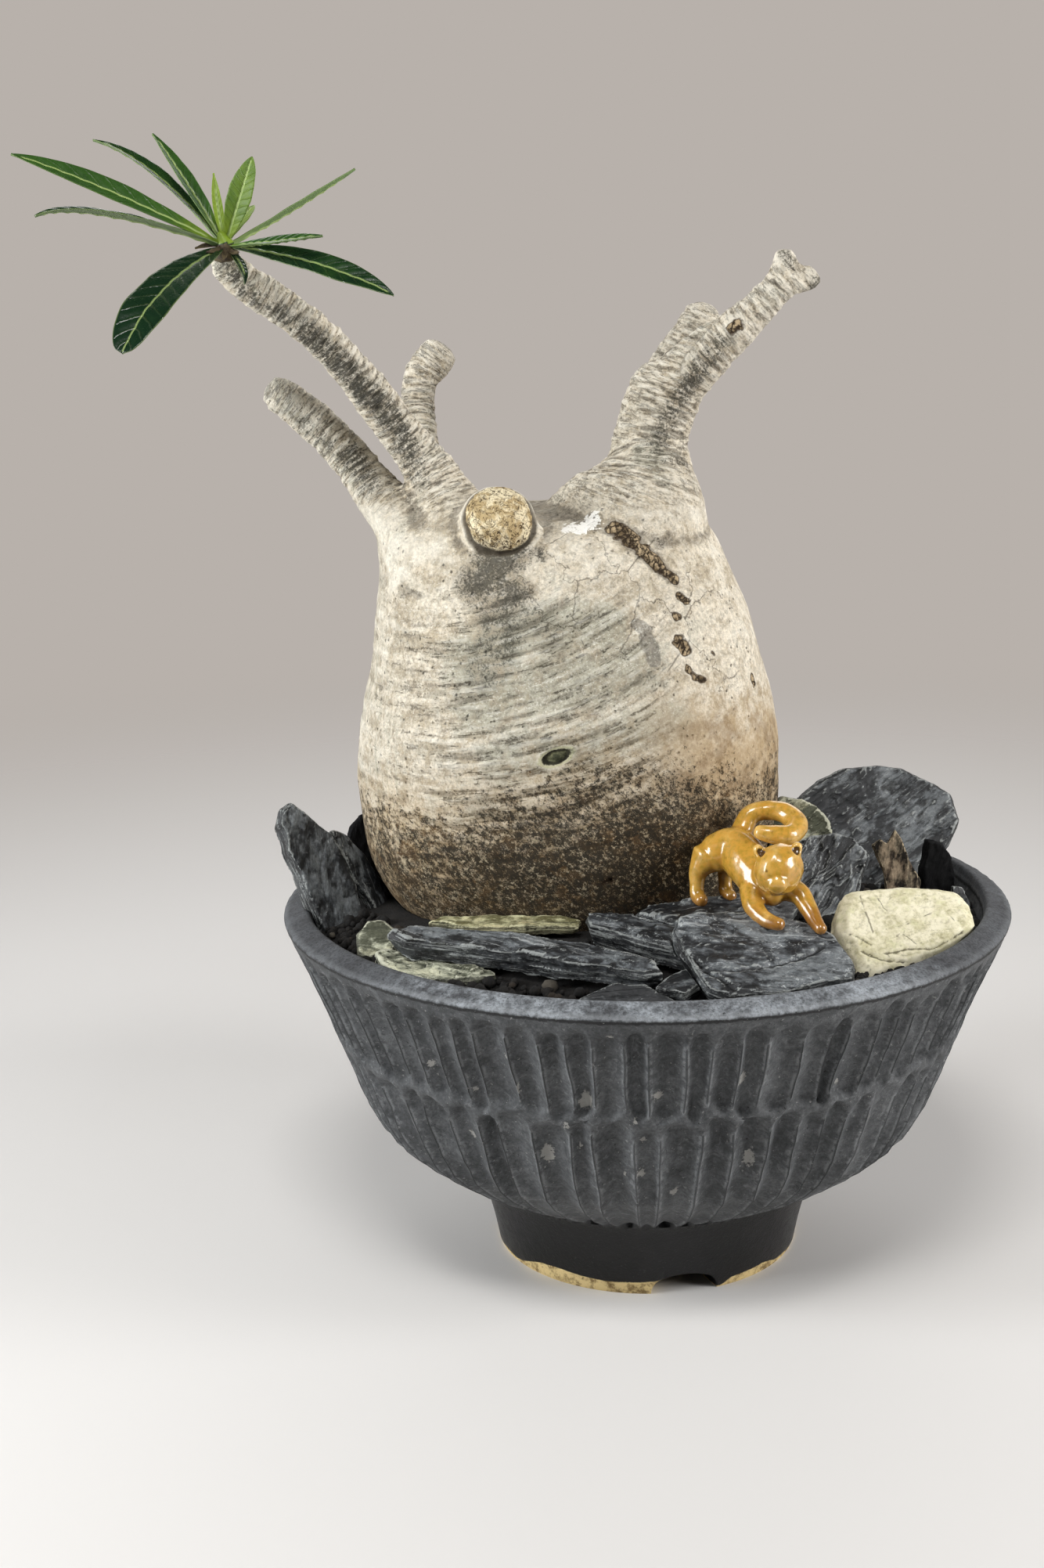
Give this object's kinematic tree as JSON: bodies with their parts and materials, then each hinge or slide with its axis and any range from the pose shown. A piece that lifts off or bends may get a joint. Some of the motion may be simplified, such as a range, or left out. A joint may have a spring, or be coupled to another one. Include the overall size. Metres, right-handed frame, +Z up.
{
  "type": "potted pachypodium",
  "caption": "Succulent with a swollen pale stem, pruned branches and a leafy tip, in a carved footed dark pot with slates, stones and a small glazed cat figurine.",
  "frame": {"origin": "the centre of the whole part's box, at the height of the pot's foot, which stands on z = 0", "axes": "+Z up along the stem; -Y is the front, with the cat; -X is the side that the leafy branch reaches to"},
  "size_m": [0.3056, 0.24, 0.3673],
  "materials": {
    "pot": "matte",
    "plastic": "matte",
    "soil": "matte",
    "bark": "matte",
    "leaf": "satin",
    "slate": "matte",
    "green_stone": "matte",
    "olive_slate": "matte",
    "cream_stone": "matte",
    "bark_chip": "matte",
    "charcoal": "matte",
    "cat": "gloss"
  },
  "bodies": {
    "root": {"bark_chip": "bark_chip", "cat": "cat", "charcoal": "charcoal", "drain_mesh": "plastic", "leaf_rosette": "leaf", "pot": "pot", "slate_back_large": "slate", "slate_back_round": "green_stone", "slate_cat_rear": "slate", "slate_chip_front": "slate", "slate_chip_thin": "slate", "slate_front_big": "slate", "slate_front_long": "slate", "slate_green_flat": "green_stone", "slate_left_dark": "charcoal", "slate_left_second": "slate", "slate_left_tall": "slate", "slate_mid_block": "slate", "slate_rear_lean": "slate", "slate_rear_left": "slate", "slate_rear_middle": "slate", "slate_rear_right": "slate", "slate_right_mid": "slate", "slate_right_thin": "slate", "slate_yellow": "olive_slate", "soil": "soil", "stem": "bark", "stone_green": "green_stone", "stone_pale": "cream_stone"}
  },
  "joints": []
}
